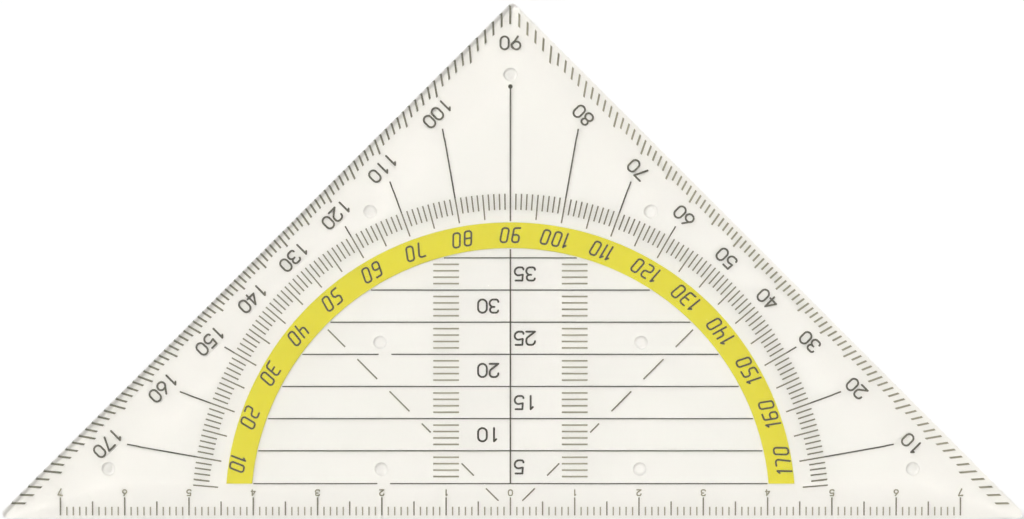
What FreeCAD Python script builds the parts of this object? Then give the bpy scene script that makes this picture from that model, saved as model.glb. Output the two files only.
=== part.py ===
import FreeCAD, Part
import math
import os

import Sketcher

doc = FreeCAD.newDocument("printed_set_square")
sheet = doc.addObject("Spreadsheet::Sheet", "Sheet")

# Millimetres and degrees. The origin is the middle of the long ruling edge on
# the printed underside, +X runs along that edge, +Y towards the right angle.
sizes = {
    "long_edge_length": 160.5,
    "leg_angle": 45,
    "plate_thickness": 2.0,
    "edge_thickness": 1.0,
    "leg_facet_width": 7.8,
    "long_facet_width": 6.1,
    "corner_radius": 0.7,
    "nub_diameter": 2.1,
    "nub_height": 0.2,
    "nub_shift_x": -0.3,
    "top_nub_drop": 11.35,
    "upper_nub_inset": 18.325,
    "upper_nub_rise": 7.475,
    "middle_nub_x": 20.3,
    "middle_nub_y": 27.3,
    "lower_nub_x": 20.1,
    "lower_nub_y": 7.6,
    "outer_nub_inset": 17.75,
    "outer_nub_y": 7.6,
    "ink_thickness": 0.05,
    "print_shift_x": -0.3,
    "print_shift_y": 0.42,
    "protractor_rise": 0.45,
    "mark_width": 0.22,
    "line_width": 0.18,
    "centre_line_width": 0.24,
    "numeral_stroke": 0.3,
    "leg_mark_margin": 0.95,
    "leg_mark_width": 0.3,
    "leg_mark_short_depth": 1.52,
    "leg_mark_five_depth": 2.09,
    "ray_depth": 6.22,
    "shortest_ray": 1.0,
    "ring_mark_length": 2.5,
    "ring_five_length": 3.9,
    "band_clearance": 1.3,
    "band_width": 4.0,
    "band_rise": 1.2,
    "band_numeral_height": 2.5,
    "band_numeral_width": 1.35,
    "band_numeral_pitch": 1.8,
    "band_numeral_slant": 11,
    "band_hundreds_shift": 0.7,
    "outer_numeral_height": 2.3,
    "outer_numeral_pitch": 1.73,
    "right_numeral_depth": 4.17,
    "left_numeral_depth": 3.96,
    "outer_numeral_turn": 0.35,
    "digit_gap": 0.15,
    "scale_pitch": 1.0,
    "scale_margin": 9.0,
    "millimetre_mark_length": 1.35,
    "half_centimetre_mark_length": 2.2,
    "centimetre_mark_length": 2.85,
    "centimetre_numeral_height": 1.1,
    "centimetre_numeral_width": 0.82,
    "centimetre_numeral_gap": 0.17,
    "centimetre_numeral_stroke": 0.2,
    "parallel_pitch": 5.0,
    "parallel_numeral_height": 2.35,
    "parallel_numeral_pitch": 1.8,
    "right_parallel_numeral_start": 0.45,
    "left_parallel_numeral_start": 1.65,
    "ladder_inner_x": 8.0,
    "ladder_outer_x": 12.0,
    "ladder_mark_width": 0.25,
    "ladder_gap": 0.4,
    "first_dash_rise": 2.3,
    "dash_lead": 1.15,
    "dash_tail": 0.75,
    "centre_dot_radius": 0.35,
    "centre_dot_gap": 0.43,
    "apex_mark_margin": 0.1,
}
for row, (name, number) in enumerate(sizes.items(), start=1):
    sheet.set(f"A{row}", name)
    sheet.set(f"B{row}", str(number))
    sheet.setAlias(f"B{row}", name)
doc.recompute()

# Sums of across and up, from the zero mark, that name lines parallel to a leg.
half_edge = "(Sheet.long_edge_length/2)"
leg_outer_sum = f"({half_edge} - Sheet.leg_mark_margin)"
leg_short_sum = f"({leg_outer_sum} - Sheet.leg_mark_short_depth*sqrt(2))"
leg_five_sum = f"({leg_outer_sum} - Sheet.leg_mark_five_depth*sqrt(2))"
ray_sum = f"({leg_outer_sum} - Sheet.ray_depth*sqrt(2))"

# Radii of the protractor, from the ray line inwards, and the heights that go with them.
ring_outer = f"(({ray_sum} - Sheet.protractor_rise)/sqrt(2))"
ring_inner = f"({ring_outer} - Sheet.ring_mark_length)"
ring_five_inner = f"({ring_outer} - Sheet.ring_five_length)"
band_outer = f"({ring_five_inner} - Sheet.band_clearance)"
band_inner = f"({band_outer} - Sheet.band_width)"
top_nub_y = f"({half_edge} - Sheet.top_nub_drop)"
side_nubs = [
    (f"({half_edge}/2 - Sheet.upper_nub_inset)", f"({half_edge}/2 + Sheet.upper_nub_rise)"),
    ("Sheet.middle_nub_x", "Sheet.middle_nub_y"),
    ("Sheet.lower_nub_x", "Sheet.lower_nub_y"),
    (f"({half_edge} - Sheet.outer_nub_inset)", "Sheet.outer_nub_y"),
]
dot_rise = (
    f"({top_nub_y} - Sheet.print_shift_y - Sheet.nub_diameter/2"
    " - Sheet.centre_dot_gap - Sheet.centre_dot_radius)"
)


def size(name):
    return float(getattr(sheet, name))


def value(expression):
    return float(sheet.evalExpression(expression))


def count_parallels():
    """How many parallel lines fit inside the band."""
    room = value(f"Sheet.band_rise + {band_inner} - 2*Sheet.line_width")
    return int(room // size("parallel_pitch"))


def count_centimetres():
    """How many centimetres the scale has on each side of its zero mark."""
    return int((value(half_edge) - size("scale_margin")) // (10 * size("scale_pitch")))


def origin_part(body, role):
    for feature in body.Origin.OriginFeatures:
        if feature.Role == role:
            return (feature, [""])


def start_body(label, x, y, z):
    body = doc.addObject("PartDesign::Body", label)
    body.Label = label
    body.AllowCompound = True
    body.setExpression("Placement.Base.x", x)
    body.setExpression("Placement.Base.y", y)
    body.setExpression("Placement.Base.z", z)
    return body


def print_body(label):
    """A layer drawn from the zero mark of the printed scale."""
    return start_body(label, "Sheet.print_shift_x", "Sheet.print_shift_y", "-Sheet.ink_thickness")


def protractor_body(label):
    """A layer drawn from the centre of the printed protractor."""
    rise = "Sheet.print_shift_y + Sheet.protractor_rise"
    return start_body(label, "Sheet.print_shift_x", rise, "-Sheet.ink_thickness")


def start_sketch(body, name, height="0"):
    sketch = body.newObject("Sketcher::SketchObject", f"{body.Name}_{name}")
    sketch.AttachmentSupport = origin_part(body, "XY_Plane")
    sketch.MapMode = "FlatFace"
    sketch.setExpression("AttachmentOffset.Base.z", height)
    return sketch


def fix_point(sketch, geometry, point, x, y):
    """Ties one point of the sketch to two expressions."""
    for kind, expression in (("DistanceX", x), ("DistanceY", y)):
        rule = Sketcher.Constraint(kind, -1, 1, geometry, point, value(expression))
        index = sketch.addConstraint(rule)
        sketch.setExpression(f"Constraints[{index}]", expression)


def draw_polygon(sketch, corners):
    first = sketch.GeometryCount
    count = len(corners)
    points = [FreeCAD.Vector(value(x), value(y), 0) for x, y in corners]
    for i in range(count):
        sketch.addGeometry(Part.LineSegment(points[i], points[(i + 1) % count]), False)
    for i in range(count):
        following = first + (i + 1) % count
        sketch.addConstraint(Sketcher.Constraint("Coincident", first + i, 2, following, 1))
    for i, (x, y) in enumerate(corners):
        fix_point(sketch, first + i, 1, x, y)


def draw_circle(sketch, x, y, radius):
    centre = FreeCAD.Vector(value(x), value(y), 0)
    circle = Part.Circle(centre, FreeCAD.Vector(0, 0, 1), value(radius))
    geometry = sketch.addGeometry(circle, False)
    fix_point(sketch, geometry, 3, x, y)
    index = sketch.addConstraint(Sketcher.Constraint("Radius", geometry, value(radius)))
    sketch.setExpression(f"Constraints[{index}]", radius)


def box_corners(left, right, bottom, top):
    return [(left, bottom), (right, bottom), (right, top), (left, top)]


def upright_mark(x, bottom, top, width):
    return box_corners(f"{x} - {width}/2", f"{x} + {width}/2", bottom, top)


def ray_mark(angle, inner, outer, width):
    """A straight mark that lies on a ray from the drawing's origin."""
    corners = []
    for reach, side in ((inner, -0.5), (outer, -0.5), (outer, 0.5), (inner, 0.5)):
        x = f"{reach}*cos({angle} deg) - ({side})*{width}*sin({angle} deg)"
        y = f"{reach}*sin({angle} deg) + ({side})*{width}*cos({angle} deg)"
        corners.append((x, y))
    return corners


def pad_marks(body, name, marks):
    sketch = start_sketch(body, name)
    for corners in marks:
        draw_polygon(sketch, corners)
    pad = body.newObject("PartDesign::Pad", f"{body.Name}_{name}_pad")
    pad.Profile = sketch
    pad.setExpression("Length", "Sheet.ink_thickness")
    sketch.Visibility = False
    doc.recompute()
    return pad


def repeat_along(body, feature, role, length, count):
    pattern = body.newObject("PartDesign::LinearPattern", f"{feature.Name}_row")
    pattern.Originals = [feature]
    pattern.Direction = origin_part(body, role)
    pattern.setExpression("Length", length)
    pattern.Occurrences = count
    body.Tip = pattern
    doc.recompute()
    return pattern


def repeat_around(body, feature, angle, count):
    pattern = body.newObject("PartDesign::PolarPattern", f"{feature.Name}_fan")
    pattern.Originals = [feature]
    pattern.Axis = origin_part(body, "Z_Axis")
    pattern.Angle = angle
    pattern.Occurrences = count
    body.Tip = pattern
    doc.recompute()
    return pattern


def mirror_across(body, feature):
    mirror = body.newObject("PartDesign::Mirrored", f"{feature.Name}_mirror")
    mirror.Originals = [feature]
    mirror.MirrorPlane = origin_part(body, "YZ_Plane")
    body.Tip = mirror
    doc.recompute()
    return mirror


def make_plate():
    body = start_body("plate", "0", "0", "0")
    outline = [(f"-{half_edge}", "0"), (half_edge, "0"), ("0", half_edge)]
    inset = f"({half_edge} - Sheet.leg_facet_width*sqrt(2))"
    ridge_reach = f"({inset} - Sheet.long_facet_width)"
    ridge = [
        (f"-{ridge_reach}", "Sheet.long_facet_width"),
        (ridge_reach, "Sheet.long_facet_width"),
        ("0", inset),
    ]
    base = start_sketch(body, "outline")
    draw_polygon(base, outline)
    slab = body.newObject("PartDesign::Pad", "plate_slab")
    slab.Profile = base
    slab.setExpression("Length", "Sheet.edge_thickness")
    doc.recompute()

    lower = start_sketch(body, "facet_foot", "Sheet.edge_thickness")
    draw_polygon(lower, outline)
    upper = start_sketch(body, "facet_ridge", "Sheet.plate_thickness")
    draw_polygon(upper, ridge)
    doc.recompute()
    facets = body.newObject("PartDesign::AdditiveLoft", "plate_facets")
    facets.Profile = lower
    facets.Sections = [upper]
    facets.Ruled = True
    doc.recompute()

    upright = []
    for index, edge in enumerate(facets.Shape.Edges, start=1):
        ends = [vertex.Point for vertex in edge.Vertexes]
        run = math.hypot(ends[0].x - ends[1].x, ends[0].y - ends[1].y)
        if run < 0.001:
            upright.append(f"Edge{index}")
    rounding = body.newObject("PartDesign::Fillet", "plate_corners")
    rounding.Base = (facets, upright)
    rounding.setExpression("Radius", "Sheet.corner_radius")
    doc.recompute()

    feet = start_sketch(body, "nubs")
    radius = "Sheet.nub_diameter/2"
    draw_circle(feet, "Sheet.nub_shift_x", top_nub_y, radius)
    for reach, rise in side_nubs:
        for side in ("-", "+"):
            draw_circle(feet, f"Sheet.nub_shift_x {side} {reach}", rise, radius)
    nubs = body.newObject("PartDesign::Pad", "plate_nubs")
    nubs.Profile = feet
    nubs.Reversed = True
    nubs.setExpression("Length", "Sheet.nub_height")
    body.Tip = nubs
    doc.recompute()
    return body


def make_ring_marks():
    body = protractor_body("degree_ring_marks")
    marks = [ray_mark(angle, ring_inner, ring_outer, "Sheet.mark_width") for angle in (6, 7, 8, 9)]
    repeat_around(body, pad_marks(body, "marks", marks), 165, 34)
    return body


def make_ring_fives():
    body = protractor_body("degree_ring_fives")
    marks = [ray_mark(angle, ring_five_inner, ring_outer, "Sheet.mark_width") for angle in (5, 95)]
    repeat_around(body, pad_marks(body, "marks", marks), 80, 17)
    return body


def make_rays():
    body = protractor_body("degree_rays")
    marks = []
    for angle in range(10, 90, 10):
        outer = f"(({ray_sum} - Sheet.protractor_rise)/(cos({angle} deg) + sin({angle} deg)))"
        if value(f"{outer} - {ring_outer}") > size("shortest_ray"):
            marks.append(ray_mark(angle, ring_outer, outer, "Sheet.mark_width"))
    mirror_across(body, pad_marks(body, "marks", marks))
    return body


def make_leg_fan(label, angles, turn, count):
    body = protractor_body(label)
    marks = [ray_mark(angle, ring_outer, leg_outer_sum, "Sheet.leg_mark_width") for angle in angles]
    repeat_around(body, pad_marks(body, "bars", marks), turn, count)
    body.Visibility = False
    return body


def make_leg_strip(label, side, inner_sum):
    """The strip along one leg that the degree marks fill."""
    strip = doc.addObject("Part::Box", label)
    strip.Label = label
    strip.setExpression("Length", "Sheet.long_edge_length")
    strip.setExpression("Width", f"({leg_outer_sum} - {inner_sum})/sqrt(2)")
    strip.setExpression("Height", "Sheet.ink_thickness")
    tilt = FreeCAD.Rotation(FreeCAD.Vector(0, 0, 1), -side * size("leg_angle"))
    strip.Placement = FreeCAD.Placement(FreeCAD.Vector(), tilt)
    half_run = "Sheet.long_edge_length/sqrt(8)"
    x = f"Sheet.print_shift_x + ({side})*{inner_sum}/2 - {half_run}"
    y = f"Sheet.print_shift_y + {inner_sum}/2 + ({side})*{half_run}"
    strip.setExpression("Placement.Base.x", x)
    strip.setExpression("Placement.Base.y", y)
    strip.setExpression("Placement.Base.z", "-Sheet.ink_thickness")
    strip.Visibility = False
    doc.recompute()
    return strip


def make_leg_marks(label, side, first_angle):
    short_angles = [first_angle + step for step in (1, 2, 3, 4)]
    pieces = []
    for name, angles, turn, count, inner_sum in (
        ("short", short_angles, 85, 18, leg_short_sum),
        ("five", [first_angle + 5], 80, 17, leg_five_sum),
    ):
        fan = make_leg_fan(f"{label}_{name}_fan", angles, turn, count)
        strip = make_leg_strip(f"{label}_{name}_strip", side, inner_sum)
        common = doc.addObject("Part::Common", f"{label}_{name}")
        common.Base = fan
        common.Tool = strip
        doc.recompute()
        pieces.append(common)
    marks = doc.addObject("Part::Compound", label)
    marks.Label = label
    marks.Links = pieces
    doc.recompute()
    return marks


def make_apex_mark():
    body = print_body("apex_degree_mark")
    top = f"{leg_outer_sum} - Sheet.apex_mark_margin"
    mark = upright_mark("0", leg_five_sum, top, "Sheet.leg_mark_width")
    pad_marks(body, "mark", [mark])
    return body


def make_edge_scale(label, starts, step, count):
    """Marks at the given millimetres of the first step, repeated along the scale."""
    body = print_body(label)
    marks = []
    for start in starts:
        x = f"(({start} - {10 * count_centimetres()})*Sheet.scale_pitch)"
        marks.append(upright_mark(x, "0", f"Sheet.{label[:-1]}_length", "Sheet.mark_width"))
    row = f"{step * (count - 1)}*Sheet.scale_pitch"
    repeat_along(body, pad_marks(body, "marks", marks), "X_Axis", row, count)
    return body


def make_parallel_lines():
    body = print_body("parallel_lines")
    marks = []
    for step in range(1, count_parallels() + 1):
        y = f"{step}*Sheet.parallel_pitch"
        reach = f"({band_inner} - Sheet.line_width)^2 - ({y} - Sheet.band_rise)^2"
        half = f"sqrt({reach})"
        marks.append(box_corners(f"-{half}", half, f"{y} - Sheet.line_width/2", f"{y} + Sheet.line_width/2"))
    pad_marks(body, "lines", marks)
    return body


def make_ladder(label, left, right):
    body = print_body(label)
    marks = []
    for step in (1, 2, 3, 4):
        y = f"(Sheet.parallel_pitch*(1 + {step}/5))"
        low = f"{y} - Sheet.ladder_mark_width/2"
        high = f"{y} + Sheet.ladder_mark_width/2"
        marks.append(box_corners(left, right, low, high))
    gaps = count_parallels() - 1
    row = f"{gaps - 1}*Sheet.parallel_pitch"
    repeat_along(body, pad_marks(body, "marks", marks), "Y_Axis", row, gaps)
    return body


def make_dashes(label, angle):
    """Dashes on the 45 degree line, one between each two parallels, clear of the ladder and the band."""
    body = protractor_body(label)
    marks = []
    ladder_low = "(Sheet.ladder_inner_x - Sheet.ladder_gap)*sqrt(2)"
    ladder_high = "(Sheet.ladder_outer_x + Sheet.ladder_gap)*sqrt(2)"
    for gap in range(count_parallels()):
        low = f"{gap}*Sheet.parallel_pitch + Sheet.dash_lead"
        if gap == 0:
            low = "Sheet.first_dash_rise"
        high = f"{gap + 1}*Sheet.parallel_pitch - Sheet.dash_tail"
        start = f"({low} - Sheet.protractor_rise)*sqrt(2)"
        end = f"({high} - Sheet.protractor_rise)*sqrt(2)"
        if value(start) < value(ladder_low) < value(end):
            end = ladder_low
        if value(start) < value(ladder_high) < value(end):
            start = ladder_high
        if value(end) > value(f"{band_inner} - Sheet.line_width"):
            end = f"({band_inner} - Sheet.line_width)"
        if value(start) < value(end):
            marks.append(ray_mark(angle, f"({start})", f"({end})", "Sheet.mark_width"))
    pad_marks(body, "dashes", marks)
    return body


def make_centre_line():
    body = print_body("centre_line")
    low = "Sheet.parallel_pitch + Sheet.line_width/2"
    high = "2*Sheet.parallel_pitch - Sheet.line_width/2"
    rung = pad_marks(body, "rung", [upright_mark("0", low, high, "Sheet.centre_line_width")])
    lines = count_parallels()
    repeat_along(body, rung, "Y_Axis", f"{lines - 2}*Sheet.parallel_pitch", lines - 1)
    band_low = f"Sheet.band_rise + {band_inner} - Sheet.line_width"
    band_high = f"Sheet.band_rise + {band_outer} + Sheet.line_width"
    above = f"{lines}*Sheet.parallel_pitch + Sheet.line_width/2"
    top = f"{dot_rise} - Sheet.centre_dot_radius"
    stem = [
        upright_mark("0", above, band_low, "Sheet.centre_line_width"),
        upright_mark("0", band_high, top, "Sheet.centre_line_width"),
    ]
    pad_marks(body, "stem", stem)
    return body


def make_centre_dot():
    body = print_body("centre_dot")
    sketch = start_sketch(body, "dot")
    draw_circle(sketch, "0", dot_rise, "Sheet.centre_dot_radius")
    pad = body.newObject("PartDesign::Pad", "centre_dot_pad")
    pad.Profile = sketch
    pad.setExpression("Length", "Sheet.ink_thickness")
    doc.recompute()
    return body


def make_band_blank():
    """The yellow band before its numerals are left open."""
    rise = "Sheet.print_shift_y + Sheet.band_rise"
    body = start_body("band_blank", "Sheet.print_shift_x", rise, "-Sheet.ink_thickness")
    sketch = start_sketch(body, "outline")
    end = "(Sheet.parallel_pitch - Sheet.band_rise)"
    points = []
    arcs = []
    for radius in (band_outer, band_inner):
        start = math.asin(value(end) / value(radius))
        circle = Part.Circle(FreeCAD.Vector(), FreeCAD.Vector(0, 0, 1), value(radius))
        arc = sketch.addGeometry(Part.ArcOfCircle(circle, start, math.pi - start), False)
        reach = value(radius) * math.cos(start)
        points.append([FreeCAD.Vector(sign * reach, value(end), 0) for sign in (1, -1)])
        sketch.addConstraint(Sketcher.Constraint("Coincident", arc, 3, -1, 1))
        index = sketch.addConstraint(Sketcher.Constraint("Radius", arc, value(radius)))
        sketch.setExpression(f"Constraints[{index}]", radius)
        for point in (1, 2):
            rule = Sketcher.Constraint("DistanceY", -1, 1, arc, point, value(end))
            index = sketch.addConstraint(rule)
            sketch.setExpression(f"Constraints[{index}]", end)
        arcs.append(arc)
    for side in (0, 1):
        segment = Part.LineSegment(points[0][side], points[1][side])
        line = sketch.addGeometry(segment, False)
        sketch.addConstraint(Sketcher.Constraint("Coincident", line, 1, arcs[0], side + 1))
        sketch.addConstraint(Sketcher.Constraint("Coincident", line, 2, arcs[1], side + 1))
    pad = body.newObject("PartDesign::Pad", "band_blank_pad")
    pad.Profile = sketch
    pad.setExpression("Length", "Sheet.ink_thickness")
    body.Visibility = False
    doc.recompute()
    return body


# Each digit is a list of pen strokes through points (across, up). Across runs
# from -1 to 1 and up from 0 to 1. A third number of 0 keeps that corner sharp,
# and a stroke that ends where it starts is a closed loop.
round_digits = {
    "0": [[(-1, 0), (1, 0), (1, 1), (-1, 1), (-1, 0)]],
    "1": [[(-0.5, 0.84), (0, 1, 0), (0, 0)]],
    "2": [[(-1, 0.72), (-1, 1), (1, 1), (1, 0.5), (-1, 0, 0), (1, 0)]],
    "3": [
        [(-0.95, 0.84), (-0.9, 1), (0.9, 1), (0.9, 0.56), (-0.1, 0.56)],
        [(-0.1, 0.56), (1, 0.56), (1, 0), (-1, 0), (-1, 0.18)],
    ],
    "4": [[(0.5, 0), (0.5, 1)], [(0.5, 1), (-1, 0.27, 0), (1, 0.27)]],
    "5": [[(0.8, 1), (-0.75, 1, 0), (-0.85, 0.55, 0), (1, 0.66), (1, 0), (-1, 0), (-1, 0.16)]],
    "6": [[(0.4, 1), (-0.93, 0.4)], [(-1, 0), (1, 0), (1, 0.6), (-1, 0.6), (-1, 0)]],
    "7": [[(-1, 1), (1, 1, 0), (-0.5, 0)]],
    "8": [
        [(-1, 0), (1, 0), (1, 0.55), (-1, 0.55), (-1, 0)],
        [(-0.8, 0.55), (0.8, 0.55), (0.8, 1), (-0.8, 1), (-0.8, 0.55)],
    ],
    "9": [[(-0.4, 0), (0.93, 0.6)], [(-1, 0.4), (1, 0.4), (1, 1), (-1, 1), (-1, 0.4)]],
}
square_digits = {
    "0": [[(-1, 0), (1, 0), (1, 1), (-1, 1), (-1, 0)]],
    "1": [[(-0.6, 0.86), (0, 1, 0), (0, 0)]],
    "2": [[(-0.8, 1), (1, 1), (1, 0.52), (-1, 0.48), (-1, 0), (0.9, 0)]],
    "3": [[(-0.9, 1), (1, 1), (1, 0), (-1, 0)], [(-0.5, 0.5), (1, 0.5)]],
    "4": [[(-0.9, 1), (-1, 0.42), (0.9, 0.42)], [(0.9, 1), (0.9, 0)]],
    "5": [[(0.9, 1), (-1, 1), (-1, 0.52), (1, 0.48), (1, 0), (-0.9, 0)]],
    "6": [[(0.8, 1), (-1, 1), (-1, 0.3)], [(-1, 0), (1, 0), (1, 0.52), (-1, 0.52), (-1, 0)]],
    "7": [[(-1, 1), (0.9, 1), (0.5, 0)]],
    "8": [[(-1, 0), (1, 0), (1, 1), (-1, 1), (-1, 0)], [(-1, 0.5), (1, 0.5)]],
    "9": [[(-0.8, 0), (1, 0), (1, 0.7)], [(-1, 0.48), (1, 0.48), (1, 1), (-1, 1), (-1, 0.48)]],
}


def rounded_wire(points, sharp, radius):
    """Joins the points by lines, with an arc in place of each corner that isn't sharp."""
    closed = points[0].distanceToPoint(points[-1]) < 0.001
    if closed:
        points, sharp = points[:-1], sharp[:-1]
    count = len(points)
    starts, ends, middles = [], [], []
    for i, point in enumerate(points):
        is_end = not closed and i in (0, count - 1)
        if is_end or sharp[i]:
            starts.append(point)
            ends.append(point)
            middles.append(None)
            continue
        before = points[i - 1] - point
        after = points[(i + 1) % count] - point
        room = []
        for arm, neighbour in ((before, i - 1), (after, (i + 1) % count)):
            at_end = sharp[neighbour] or (not closed and neighbour in (0, count - 1))
            room.append(arm.Length * (1.0 if at_end else 0.5))
        half_angle = before.getAngle(after) / 2
        trim = min(radius / math.tan(half_angle), min(room))
        bend = trim * math.tan(half_angle)
        before.normalize()
        after.normalize()
        bisector = (before + after).normalize()
        starts.append(point + before * trim)
        ends.append(point + after * trim)
        middles.append(point + bisector * (bend / math.sin(half_angle) - bend))
    edges = []
    for i in range(count):
        if middles[i] is not None:
            edges.append(Part.Arc(starts[i], middles[i], ends[i]).toShape())
        if i == count - 1 and not closed:
            break
        following = starts[(i + 1) % count]
        if ends[i].distanceToPoint(following) > 0.001:
            edges.append(Part.LineSegment(ends[i], following).toShape())
    return Part.Wire(edges)


def pen_face(wire, width):
    """The flat area that a round pen of this width covers along the wire."""
    if wire.isClosed():
        outer = Part.Face(wire.makeOffset2D(width / 2))
        inner = Part.Face(wire.makeOffset2D(-width / 2))
        return outer.cut(inner).Faces[0]
    if len(wire.Edges) > 1:
        return Part.Face(wire.makeOffset2D(width / 2, 0, False, False))
    start, end = [vertex.Point for vertex in wire.Vertexes]
    along = (end - start).normalize() * (width / 2)
    across = FreeCAD.Vector(-along.y, along.x, 0)
    corners = [start + across, start - across, end - across, end + across]
    edges = [
        Part.Arc(corners[0], start - along, corners[1]).toShape(),
        Part.LineSegment(corners[1], corners[2]).toShape(),
        Part.Arc(corners[2], end + along, corners[3]).toShape(),
        Part.LineSegment(corners[3], corners[0]).toShape(),
    ]
    return Part.Face(Part.Wire(edges))


def make_digits(style, width, height, stroke, roundness, slant):
    """One solid for each digit, centred on the middle of its cell."""
    half = (width - stroke) / 2
    rise = height - stroke
    lean = math.tan(math.radians(slant))
    digits = {}
    for digit, strokes in style.items():
        faces = []
        for pen in strokes:
            points = []
            for across, up, *mark in pen:
                y = (up - 0.5) * rise
                points.append(FreeCAD.Vector(across * half + lean * y, y, 0))
            sharp = [len(entry) > 2 for entry in pen]
            faces.append(pen_face(rounded_wire(points, sharp, roundness * half), stroke))
        flat = faces[0]
        if len(faces) > 1:
            flat = faces[0].fuse(faces[1:]).removeSplitter()
        digits[digit] = flat.extrude(FreeCAD.Vector(0, 0, size("ink_thickness")))
    return digits


def set_text(digits, text, centre, angle, pitch, narrow_pitch):
    """Places the digits of one numeral along its own baseline."""
    advance = [narrow_pitch if letter == "1" else pitch for letter in text]
    turn = FreeCAD.Rotation(FreeCAD.Vector(0, 0, 1), angle)
    reach = -sum(advance) / 2
    solids = []
    for letter, step in zip(text, advance):
        offset = turn.multVec(FreeCAD.Vector(reach + step / 2, 0, 0))
        piece = digits[letter].copy()
        piece.Placement = FreeCAD.Placement(centre + offset, turn)
        solids += piece.Solids
        reach += step
    return solids


def place_numerals(label, solids, rise):
    feature = doc.addObject("Part::Feature", label)
    feature.Label = label
    feature.Shape = Part.makeCompound(solids)
    base = FreeCAD.Vector(size("print_shift_x"), size("print_shift_y") + rise, -size("ink_thickness"))
    feature.Placement = FreeCAD.Placement(base, FreeCAD.Rotation())
    doc.recompute()
    return feature


def make_band_numerals():
    width, height = size("band_numeral_width"), size("band_numeral_height")
    slant = size("band_numeral_slant")
    digits = make_digits(square_digits, width, height, size("numeral_stroke"), 0.75, slant)
    pitch = size("band_numeral_pitch")
    middle = value(f"{band_inner} + Sheet.band_width/2 + Sheet.band_rise - Sheet.protractor_rise")
    solids = []
    for number in range(10, 180, 10):
        angle = 180 - number
        turn = angle + 90
        direction = FreeCAD.Vector(math.cos(math.radians(angle)), math.sin(math.radians(angle)), 0)
        reading = FreeCAD.Vector(math.cos(math.radians(turn)), math.sin(math.radians(turn)), 0)
        centre = direction * middle
        if number >= 100:
            centre = centre + reading * size("band_hundreds_shift")
        solids += set_text(digits, str(number), centre, turn, pitch, pitch / 2)
    return place_numerals("band_degree_numerals", solids, size("protractor_rise"))


def make_outer_numerals():
    pitch = size("outer_numeral_pitch")
    width, height = pitch - size("digit_gap"), size("outer_numeral_height")
    digits = make_digits(round_digits, width, height, size("numeral_stroke"), 1, 0)
    solids = []
    for number in range(10, 180, 10):
        side = (number < 90) - (number > 90)
        angle = math.radians(number - side * size("outer_numeral_turn"))
        depth = "right_numeral_depth" if side >= 0 else "left_numeral_depth"
        line = value(leg_outer_sum) - size(depth) * math.sqrt(2)
        spread = abs(math.cos(angle)) + math.sin(angle)
        reach = (line - size("protractor_rise")) / spread
        centre = FreeCAD.Vector(reach * math.cos(angle), reach * math.sin(angle), 0)
        turn = 180 - side * size("leg_angle")
        solids += set_text(digits, str(number), centre, turn, pitch, pitch)
    return place_numerals("outer_degree_numerals", solids, size("protractor_rise"))


def make_parallel_numerals():
    pitch = size("parallel_numeral_pitch")
    width, height = pitch - size("digit_gap"), size("parallel_numeral_height")
    digits = make_digits(round_digits, width, height, size("numeral_stroke"), 1, 0)
    solids = []
    for step in range(1, count_parallels()):
        text = str(5 * step)
        half_text = len(text) * pitch / 2
        x = -size("left_parallel_numeral_start") - half_text
        if step % 2:
            x = size("right_parallel_numeral_start") + half_text
        centre = FreeCAD.Vector(x, (step + 0.5) * size("parallel_pitch"), 0)
        solids += set_text(digits, text, centre, 180, pitch, pitch)
    return place_numerals("parallel_numerals", solids, 0)


def make_centimetre_numerals():
    height = size("centimetre_numeral_height")
    stroke = size("centimetre_numeral_stroke")
    digits = make_digits(round_digits, size("centimetre_numeral_width"), height, stroke, 1, 0)
    rise = size("centimetre_mark_length") + size("centimetre_numeral_gap") + height / 2
    reach = count_centimetres()
    solids = []
    for step in range(-reach, reach + 1):
        centre = FreeCAD.Vector(step * 10 * size("scale_pitch"), rise, 0)
        solids += set_text(digits, str(abs(step)), centre, 180, height, height)
    return place_numerals("centimetre_numerals", solids, 0)


def make_band(blank, numerals):
    band = doc.addObject("Part::Cut", "yellow_degree_band")
    band.Label = "yellow_degree_band"
    band.Base = blank
    band.Tool = numerals
    doc.recompute()
    return band


band_numerals = make_band_numerals()
centimetres = 2 * count_centimetres()
nodes = [
    make_plate(),
    make_band(make_band_blank(), band_numerals),
    band_numerals,
    make_ring_marks(),
    make_ring_fives(),
    make_rays(),
    make_outer_numerals(),
    make_leg_marks("right_leg_degree_marks", 1, 0),
    make_leg_marks("left_leg_degree_marks", -1, 90),
    make_apex_mark(),
    make_edge_scale("millimetre_marks", (1, 2, 3, 4), 5, 2 * centimetres),
    make_edge_scale("half_centimetre_marks", (5,), 10, centimetres),
    make_edge_scale("centimetre_marks", (0,), 10, centimetres + 1),
    make_centimetre_numerals(),
    make_parallel_lines(),
    make_parallel_numerals(),
    make_ladder("right_millimetre_ladder", "Sheet.ladder_inner_x", "Sheet.ladder_outer_x"),
    make_ladder("left_millimetre_ladder", "-Sheet.ladder_outer_x", "-Sheet.ladder_inner_x"),
    make_dashes("right_diagonal_dashes", 45),
    make_dashes("left_diagonal_dashes", 135),
    make_centre_line(),
    make_centre_dot(),
]
doc.recompute()

for item in doc.Objects:
    if "Invalid" in item.State or "Error" in item.State:
        raise RuntimeError(f"{item.Label} did not rebuild")

os.makedirs("parts", exist_ok=True)
for node in nodes:
    shape = node.Shape
    if shape.isNull() or not shape.isValid():
        raise RuntimeError(f"{node.Label} has no valid shape")
    shape.exportStep(f"parts/{node.Label}.step")
    print(node.Label, len(shape.Solids), round(shape.Volume, 4))
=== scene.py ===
import bmesh
import bpy
import math
from mathutils import Matrix, Vector


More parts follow.
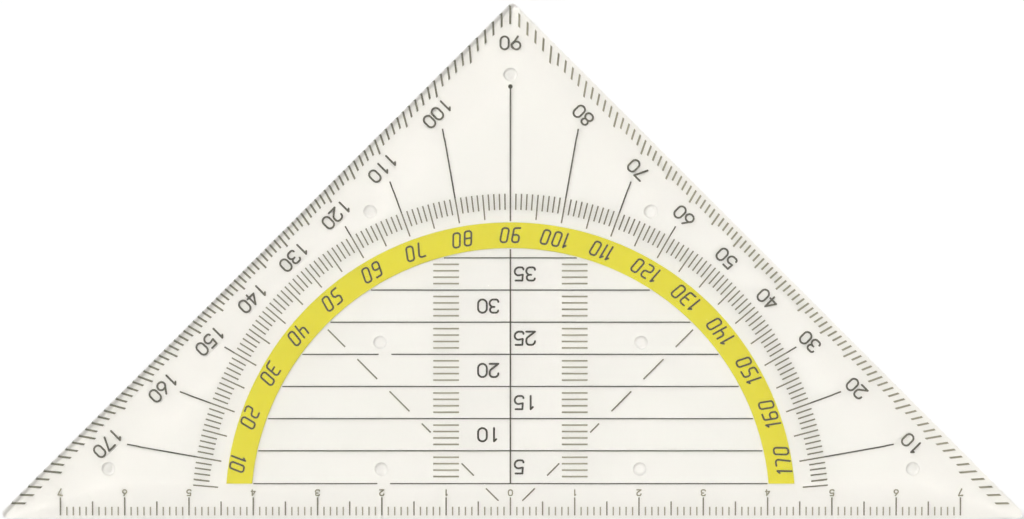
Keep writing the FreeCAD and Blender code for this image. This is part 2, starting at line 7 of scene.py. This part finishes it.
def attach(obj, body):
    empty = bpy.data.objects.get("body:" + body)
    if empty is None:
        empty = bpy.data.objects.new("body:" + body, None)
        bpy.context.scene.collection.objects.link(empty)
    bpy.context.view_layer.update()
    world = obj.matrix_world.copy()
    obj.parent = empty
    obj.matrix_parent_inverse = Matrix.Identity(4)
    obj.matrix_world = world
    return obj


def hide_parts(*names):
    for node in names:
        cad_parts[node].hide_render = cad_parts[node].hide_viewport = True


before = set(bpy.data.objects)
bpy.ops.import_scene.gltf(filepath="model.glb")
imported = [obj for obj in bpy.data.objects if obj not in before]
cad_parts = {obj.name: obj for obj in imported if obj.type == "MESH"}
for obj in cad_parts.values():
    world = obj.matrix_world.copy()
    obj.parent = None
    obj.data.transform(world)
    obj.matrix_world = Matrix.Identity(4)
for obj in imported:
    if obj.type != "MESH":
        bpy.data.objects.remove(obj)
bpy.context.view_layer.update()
mm = 0.001
print("stage: frame loaded,", len(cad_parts), "nodes")


# Shader maths: a Value is one output socket, and arithmetic on it adds Math nodes.
class Value:
    def __init__(self, tree, socket):
        self.tree = tree
        self.socket = socket

    def maths(self, operation, first, second=None):
        inputs = [first] if second is None else [first, second]
        return addNode(self.tree, "ShaderNodeMath", {"operation": operation}, dict(enumerate(inputs)))

    def __add__(self, other):
        return self.maths("ADD", self, other)

    def __sub__(self, other):
        return self.maths("SUBTRACT", self, other)

    def __mul__(self, other):
        return self.maths("MULTIPLY", self, other)

    __radd__ = __add__
    __rmul__ = __mul__

    def __rsub__(self, other):
        return self.maths("SUBTRACT", other, self)

    def __gt__(self, other):
        return self.maths("GREATER_THAN", self, other)

    def __lt__(self, other):
        return self.maths("LESS_THAN", self, other)

    def __abs__(self):
        return self.maths("ABSOLUTE", self)


def addNode(tree, kind, settings=None, inputs=None, output=0):
    node = tree.nodes.new(kind)
    for name, setting in (settings or {}).items():
        setattr(node, name, setting)
    for name, given in (inputs or {}).items():
        if isinstance(given, Value):
            tree.links.new(given.socket, node.inputs[name])
        else:
            node.inputs[name].default_value = given
    if not node.outputs:
        return node
    return Value(tree, node.outputs[output])


def startMaterial(name):
    material = bpy.data.materials.new(name)
    material.use_nodes = True
    tree = material.node_tree
    tree.nodes.clear()
    return material, tree


def objectPlace(tree):
    return addNode(tree, "ShaderNodeTexCoord", output="Object")


def closeMaterial(tree, surface):
    addNode(tree, "ShaderNodeOutputMaterial", inputs={"Surface": surface})


def mixColour(tree, factor, first, second):
    return addNode(tree, "ShaderNodeMix", {"data_type": "RGBA"}, {0: factor, 6: first, 7: second}, output=2)


def noise(tree, place, scale, detail):
    return addNode(tree, "ShaderNodeTexNoise", {}, {"Vector": place, "Scale": scale, "Detail": detail})


def bumped(tree, height, strength, step):
    return addNode(tree, "ShaderNodeBump", {}, {"Strength": strength, "Distance": step, "Height": height})


# Clear plate: polished moulded plastic, with a faint warm tint and very slight flow waviness.
clearPlastic = {
    "tint": (0.965, 0.950, 0.914, 1.0),
    "shade": (0.959, 0.943, 0.904, 1.0),
    "tintScale": 18.0,
    "tintDetail": 2.0,
    "roughness": 0.03,
    "refraction": 1.49,
    "flowScale": 45.0,
    "flowDetail": 1.0,
    "flowBump": 0.012,
    "flowStep": 1.0 * mm,
    # painted shade: the nubs' colour is darkened to stand in for the shade seen in them
    "nubPaintedShade": (0.840, 0.830, 0.800, 1.0),
    "nubRoughness": 0.35,
}


def makeClearPlastic():
    p = clearPlastic
    material, tree = startMaterial("clearPlastic")
    place = objectPlace(tree)
    height = addNode(tree, "ShaderNodeSeparateXYZ", {}, {0: place}, output=2)
    onNubs = height < 0.0  # only the nubs reach below the printed side, and the mould's pins leave them matt
    cloud = noise(tree, place, p["tintScale"], p["tintDetail"])
    # On the nubs the colour is darkened as painted shade; their matt roughness is the real finish.
    colour = mixColour(tree, onNubs, mixColour(tree, cloud, p["tint"], p["shade"]), p["nubPaintedShade"])
    flow = noise(tree, place, p["flowScale"], p["flowDetail"])
    closeMaterial(tree, addNode(tree, "ShaderNodeBsdfPrincipled", {}, {
        "Base Color": colour, "Roughness": onNubs * p["nubRoughness"] + p["roughness"],
        "IOR": p["refraction"], "Transmission Weight": 1.0,
        "Normal": bumped(tree, flow, p["flowBump"], p["flowStep"])}))
    return material


# Printed inks: thin screen-printed film, denser and thinner in small patches. Fine marks print lighter.
inkFilm = {
    "patchScale": 900.0,
    "patchDetail": 3.0,
    "patchGain": 1.1,
    "grainScale": 9000.0,
    "grainDetail": 2.0,
    "grainBump": 0.15,
    "grainStep": 0.02 * mm,
    "roughness": 0.5,
    "grainRoughness": 0.1,
    "gloss": 0.1,
}
inkShades = {
    "bandNumerals": (0.055, 0.052, 0.030),
    "numerals": (0.045, 0.043, 0.030),
    "outerNumerals": (0.100, 0.096, 0.072),
    "rules": (0.080, 0.077, 0.055),
    "centreLine": (0.110, 0.106, 0.080),
    "parallelRules": (0.070, 0.068, 0.050),
    # painted shade: the left leg's marks and the apex mark are inked darker than the right leg's, for the leg on
    # the shadow side
    "leftMarksPaintedShade": (0.160, 0.155, 0.110),
    "rightMarks": (0.280, 0.270, 0.200),
    "ring": (0.200, 0.192, 0.143),
    "ladder": (0.350, 0.338, 0.265),
    "fineMarks": (0.350, 0.336, 0.265),
    "yellow": (0.680, 0.626, 0.002),
}
inkOf = {
    "yellow_degree_band": "yellow",
    "band_degree_numerals": "bandNumerals",
    "outer_degree_numerals": "outerNumerals",
    "parallel_numerals": "numerals",
    "centimetre_numerals": "rightMarks",
    "degree_rays": "rules",
    "centre_line": "centreLine",
    "centre_dot": "bandNumerals",
    "parallel_lines": "parallelRules",
    "right_diagonal_dashes": "ring",
    "left_diagonal_dashes": "ring",
    "degree_ring_marks": "ring",
    "degree_ring_fives": "ring",
    "right_leg_degree_marks": "rightMarks",
    "left_leg_degree_marks": "leftMarksPaintedShade",
    "apex_degree_mark": "leftMarksPaintedShade",
    "millimetre_marks": "fineMarks",
    "half_centimetre_marks": "ring",
    "centimetre_marks": "ring",
    "right_millimetre_ladder": "ladder",
    "left_millimetre_ladder": "ladder",
}
wornSpots = {"ink": "parallelRules", "places": [(-19.8 * mm, 25.5 * mm), (-20.0 * mm, 5.5 * mm)],
             "reach": 1.0 * mm}


# The film is rubbed off in two small spots beside the nubs.
def inkLeft(tree, place):
    axes = [addNode(tree, "ShaderNodeSeparateXYZ", {}, {0: place}, output=axis) for axis in (0, 1)]
    left = 1.0
    for spot in wornSpots["places"]:
        near = [abs(axis - centre) < wornSpots["reach"] for axis, centre in zip(axes, spot)]
        left = left - near[0] * near[1]
    return left


def makeInk(name, shade):
    p = inkFilm
    material, tree = startMaterial(name + "Ink")
    place = objectPlace(tree)
    patch = noise(tree, place, p["patchScale"], p["patchDetail"])
    grain = noise(tree, place, p["grainScale"], p["grainDetail"])
    thin = [channel * p["patchGain"] for channel in shade]
    sockets = {
        "Base Color": mixColour(tree, patch, (*shade, 1.0), (*thin, 1.0)),
        "Roughness": p["roughness"] + p["grainRoughness"] * grain,
        "Specular IOR Level": p["gloss"],
        "Normal": bumped(tree, grain, p["grainBump"], p["grainStep"]),
    }
    if name == wornSpots["ink"]:
        sockets["Alpha"] = inkLeft(tree, place)
    closeMaterial(tree, addNode(tree, "ShaderNodeBsdfPrincipled", {}, sockets))
    return material


inks = {name: makeInk(name, shade) for name, shade in inkShades.items()}
plasticMaterial = makeClearPlastic()
print("stage: finishes made")

for name, ink in inkOf.items():
    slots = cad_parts[name].data.materials
    slots.clear()
    slots.append(inks[ink])
print("stage: printed fields inked")


# Plate: one moulding with sloped borders, softened ridges and edges, and nine nubs under it.
plate = {
    "longEdge": 160.5 * mm,
    "thickness": 2.0 * mm,
    "edgeThickness": 1.0 * mm,
    "legFacet": 7.8 * mm,
    "longFacet": 6.1 * mm,
    "cornerRadius": 0.7 * mm,
    "cornerSteps": 8,
    "inkClearance": 0.01 * mm,
    "rimSoftness": 0.14 * mm,
    "ridgeSoftness": 0.3 * mm,
    "ridgeSteps": 4,
    "hipChamfer": 0.012 * mm,
    "rimSteps": 3,
    "uprightBelow": 0.1,  # a face whose normal rises less is a side
    "levelAbove": 0.9,  # one whose normal rises more is a top, border or underside
    "flatAbove": 0.99,
    "weld": 1e-8,
}
nub = {
    "rootRadius": 1.05 * mm,
    "footRadius": 0.72 * mm,
    "height": 0.2 * mm,
    "softness": 0.18 * mm,
    "softSteps": 5,
    "segments": 48,
    "axis": -0.3 * mm,
    "places": [(0.0, 68.9), (21.8, 47.6), (-21.8, 47.6), (20.3, 27.3), (-20.3, 27.3),
               (20.1, 7.6), (-20.1, 7.6), (62.5, 7.6), (-62.5, 7.6)],
}


def onlyEdges(geometry):
    return [item for item in geometry if isinstance(item, bmesh.types.BMEdge)]


def onlyVerts(geometry):
    return [item for item in geometry if isinstance(item, bmesh.types.BMVert)]


def softenEdges(mesh, edges, width, segments):
    bmesh.ops.bevel(mesh, geom=edges, offset=width, offset_type="OFFSET", segments=segments,
                    profile=0.5, affect="EDGES", material=-1, clamp_overlap=True)


def sliceOff(mesh, point, normal):
    cut = bmesh.ops.bisect_plane(mesh, geom=mesh.verts[:] + mesh.edges[:] + mesh.faces[:], dist=plate["weld"],
                                 plane_co=point, plane_no=normal, clear_outer=True)
    bmesh.ops.edgeloop_fill(mesh, edges=onlyEdges(cut["geom_cut"]))


# Each corner is an arc, given by its middle, the direction at which it begins and how far it turns, in degrees.
def makeOutline(mesh):
    half, radius = plate["longEdge"] / 2, plate["cornerRadius"]
    reach = radius / math.tan(math.radians(45 / 2))
    turns = [((half - reach, radius), -90, 135), ((0, half - radius * math.sqrt(2)), 45, 90),
             ((reach - half, radius), 135, 135)]
    for (x, y), begin, turn in turns:
        out = Vector((math.cos(math.radians(begin)), math.sin(math.radians(begin)), 0))
        first = mesh.verts.new(Vector((x, y, plate["inkClearance"])) + out * radius)
        bmesh.ops.spin(mesh, geom=[first], cent=(x, y, 0), axis=(0, 0, 1), angle=math.radians(turn),
                       steps=plate["cornerSteps"])
    # in order round a point inside the outline
    return mesh.faces.new(sorted(mesh.verts, key=lambda vert: math.atan2(vert.co.y - half / 3, vert.co.x)))


def makePlateBlank():
    p = plate
    half = p["longEdge"] / 2
    rise = p["thickness"] - p["edgeThickness"]
    mesh = bmesh.new()
    base = makeOutline(mesh)
    pushed = bmesh.ops.extrude_face_region(mesh, geom=[base], use_keep_orig=True)
    bmesh.ops.translate(mesh, verts=onlyVerts(pushed["geom"]), vec=(0, 0, p["thickness"] - p["inkClearance"]))
    bmesh.ops.recalc_face_normals(mesh, faces=mesh.faces)
    diagonal = math.sqrt(0.5)
    sides = [((0, 0), (0, -1), p["longFacet"]), ((half, 0), (diagonal, diagonal), p["legFacet"]),
             ((-half, 0), (-diagonal, diagonal), p["legFacet"])]
    facets = []  # each border's point, normal, outward direction and depth
    for point, outward, depth in sides:
        normal = Vector((outward[0] * rise / depth, outward[1] * rise / depth, 1)).normalized()
        facets.append((Vector((point[0], point[1], p["edgeThickness"])), normal, Vector(outward), depth))
        sliceOff(mesh, facets[-1][0], normal)
    bmesh.ops.recalc_face_normals(mesh, faces=mesh.faces)
    rim = [edge for edge in mesh.edges if isRim(edge)]
    softenEdges(mesh, rim, p["rimSoftness"], p["rimSteps"])
    for point, normal, outward, depth in facets:
        softenRidge(mesh, point, outward, depth, math.atan(rise / depth))
    for first, second in ((0, 1), (0, 2), (1, 2)):
        softenHip(mesh, facets[first], facets[second])
    bmesh.ops.recalc_face_normals(mesh, faces=mesh.faces)
    return mesh


def isRim(edge):
    upright, level = sorted(abs(face.normal.z) for face in edge.link_faces)
    return upright < plate["uprightBelow"] and level > plate["levelAbove"]


# The ridge between the top and a border is planed round in a few narrow cuts.
def softenRidge(mesh, point, outward, depth, slope):
    radius = plate["ridgeSoftness"] / math.tan(slope / 2)
    for step in range(1, plate["ridgeSteps"]):
        angle = slope * step / plate["ridgeSteps"]
        inward = depth + plate["ridgeSoftness"] - radius * math.sin(angle)
        height = plate["thickness"] - radius * (1 - math.cos(angle))
        place = point - outward.to_3d() * inward
        place.z = height
        sliceOff(mesh, place, (outward.to_3d() * math.tan(angle) + Vector((0, 0, 1))).normalized())


# The hip where two borders meet is planed off by a hair.
def softenHip(mesh, one, other):
    normal = (one[1] + other[1]).normalized()
    line = one[1].cross(other[1])
    rows = Matrix((one[1], other[1], line))
    meeting = rows.inverted() @ Vector((one[1].dot(one[0]), other[1].dot(other[0]), line.dot(one[0])))
    sliceOff(mesh, meeting - normal * plate["hipChamfer"], normal)


# The underside is filled again round the nubs' roots, and each nub is drawn down from its root and rounded.
def addNubs(mesh):
    p = plate
    underside = [face for face in mesh.faces if face.normal.z < -p["flatAbove"]]
    border = [edge for face in underside for edge in face.edges
              if sum(other in underside for other in edge.link_faces) == 1]
    bmesh.ops.delete(mesh, geom=underside, context="FACES_ONLY")
    roots = []
    for x, y in nub["places"]:
        middle = Vector((nub["axis"] + x * mm, y * mm, p["inkClearance"]))
        ring = bmesh.ops.create_circle(mesh, cap_ends=False, radius=nub["rootRadius"], segments=nub["segments"],
                                       matrix=Matrix.Translation(middle))
        roots.append((middle, list(dict.fromkeys(edge for vert in ring["verts"] for edge in vert.link_edges))))
    bmesh.ops.triangle_fill(mesh, use_beauty=True, edges=border + [edge for _, ring in roots for edge in ring])
    shrink = nub["footRadius"] / nub["rootRadius"]
    feet = []
    for middle, ring in roots:
        pulled = bmesh.ops.extrude_edge_only(mesh, edges=ring)
        verts = onlyVerts(pulled["geom"])
        bmesh.ops.scale(mesh, verts=verts, vec=(shrink, shrink, 1), space=Matrix.Translation(-middle))
        bmesh.ops.translate(mesh, verts=verts, vec=(0, 0, -nub["height"] - p["inkClearance"]))
        foot = [edge for edge in onlyEdges(pulled["geom"]) if all(vert in verts for vert in edge.verts)]
        bmesh.ops.edgeloop_fill(mesh, edges=foot)
        feet += foot
    bmesh.ops.recalc_face_normals(mesh, faces=mesh.faces)
    softenEdges(mesh, feet, nub["softness"], nub["softSteps"])


def addPiece(name, mesh, material):
    data = bpy.data.meshes.new(name)
    mesh.to_mesh(data)
    mesh.free()
    piece = bpy.data.objects.new(name, data)
    bpy.context.scene.collection.objects.link(piece)
    data.materials.append(material)
    return piece


plateMesh = makePlateBlank()
addNubs(plateMesh)
platePiece = addPiece("clearPlate", plateMesh, plasticMaterial)
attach(platePiece, "root")
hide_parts("plate")
print("stage: plate made")


# Floor, camera and light: a plain white sheet, a long lens straight above, soft daylight from the upper left.
floor = {"reach": 3.0, "height": -0.22 * mm, "colour": (0.86, 0.86, 0.86, 1.0), "glow": 0.02}
lens = {"focal": 150.0, "sensor": 36.0, "pixelsPerMetre": 6425.0, "frameWidth": 1024.0,
        "lookAt": (-0.051 * mm, 40.17 * mm, 0.0), "nearest": 0.01}
daylight = {"strength": 1.85, "spread": 24.0, "towards": (-1.0, 1.0, 2.35)}
room = {"fill": 0.65, "seen": 1.0, "bounces": 48}


# True where the camera sees a surface straight, mirrored or through the plate, but not where it only sheds light.
def seenByCamera(tree):
    rays = [addNode(tree, "ShaderNodeLightPath", output=name)
            for name in ("Is Camera Ray", "Is Glossy Ray", "Is Transmission Ray")]
    scattered = addNode(tree, "ShaderNodeLightPath", output="Diffuse Depth")
    return (rays[0] + rays[1] + rays[2] > 0.5) * (scattered < 0.5)


def makeFloor():
    mesh = bmesh.new()
    bmesh.ops.create_grid(mesh, x_segments=1, y_segments=1, size=floor["reach"])
    bmesh.ops.translate(mesh, verts=mesh.verts, vec=(0, 0, floor["height"]))
    material, tree = startMaterial("whiteSheet")
    diffuse = addNode(tree, "ShaderNodeBsdfDiffuse", {}, {"Color": floor["colour"]})
    glow = addNode(tree, "ShaderNodeEmission", {}, {"Strength": seenByCamera(tree) * floor["glow"]})
    closeMaterial(tree, addNode(tree, "ShaderNodeAddShader", {}, {0: diffuse, 1: glow}))
    addPiece("whiteSheet", mesh, material)


def makeCamera():
    camera = bpy.data.objects.new("camera", bpy.data.cameras.new("camera"))
    bpy.context.scene.collection.objects.link(camera)
    camera.data.lens = lens["focal"]
    camera.data.sensor_width = lens["sensor"]
    width = lens["frameWidth"] / lens["pixelsPerMetre"]
    distance = lens["focal"] / lens["sensor"] * width
    camera.location = Vector(lens["lookAt"]) + Vector((0, 0, distance))
    camera.data.clip_start = lens["nearest"]
    bpy.context.scene.camera = camera


def makeLight():
    light = bpy.data.lights.new("daylight", "SUN")
    light.energy = daylight["strength"]
    light.angle = math.radians(daylight["spread"])
    window = bpy.data.objects.new("daylight", light)
    bpy.context.scene.collection.objects.link(window)
    window.rotation_euler = Vector(daylight["towards"]).to_track_quat("Z", "Y").to_euler()
    window.visible_glossy = False  # no mirror image of the lamp on the sloped borders
    world = bpy.data.worlds.new("whiteRoom")
    bpy.context.scene.world = world
    world.use_nodes = True
    tree = world.node_tree
    tree.nodes.clear()
    extra = room["seen"] - room["fill"]
    sky = addNode(tree, "ShaderNodeBackground", {}, {
        "Color": (1, 1, 1, 1), "Strength": seenByCamera(tree) * extra + room["fill"]})
    addNode(tree, "ShaderNodeOutputWorld", inputs={"Surface": sky})


makeFloor()
makeCamera()
makeLight()
bpy.context.scene.view_settings.view_transform = "Standard"
# Clear plastic leads light a long way, so no path is blurred, clamped or cut short.
paths = bpy.context.scene.cycles
paths.blur_glossy = 0.0
paths.sample_clamp_indirect = 0.0
paths.max_bounces = paths.glossy_bounces = paths.transmission_bounces = room["bounces"]
print("stage: floor, camera and light made")
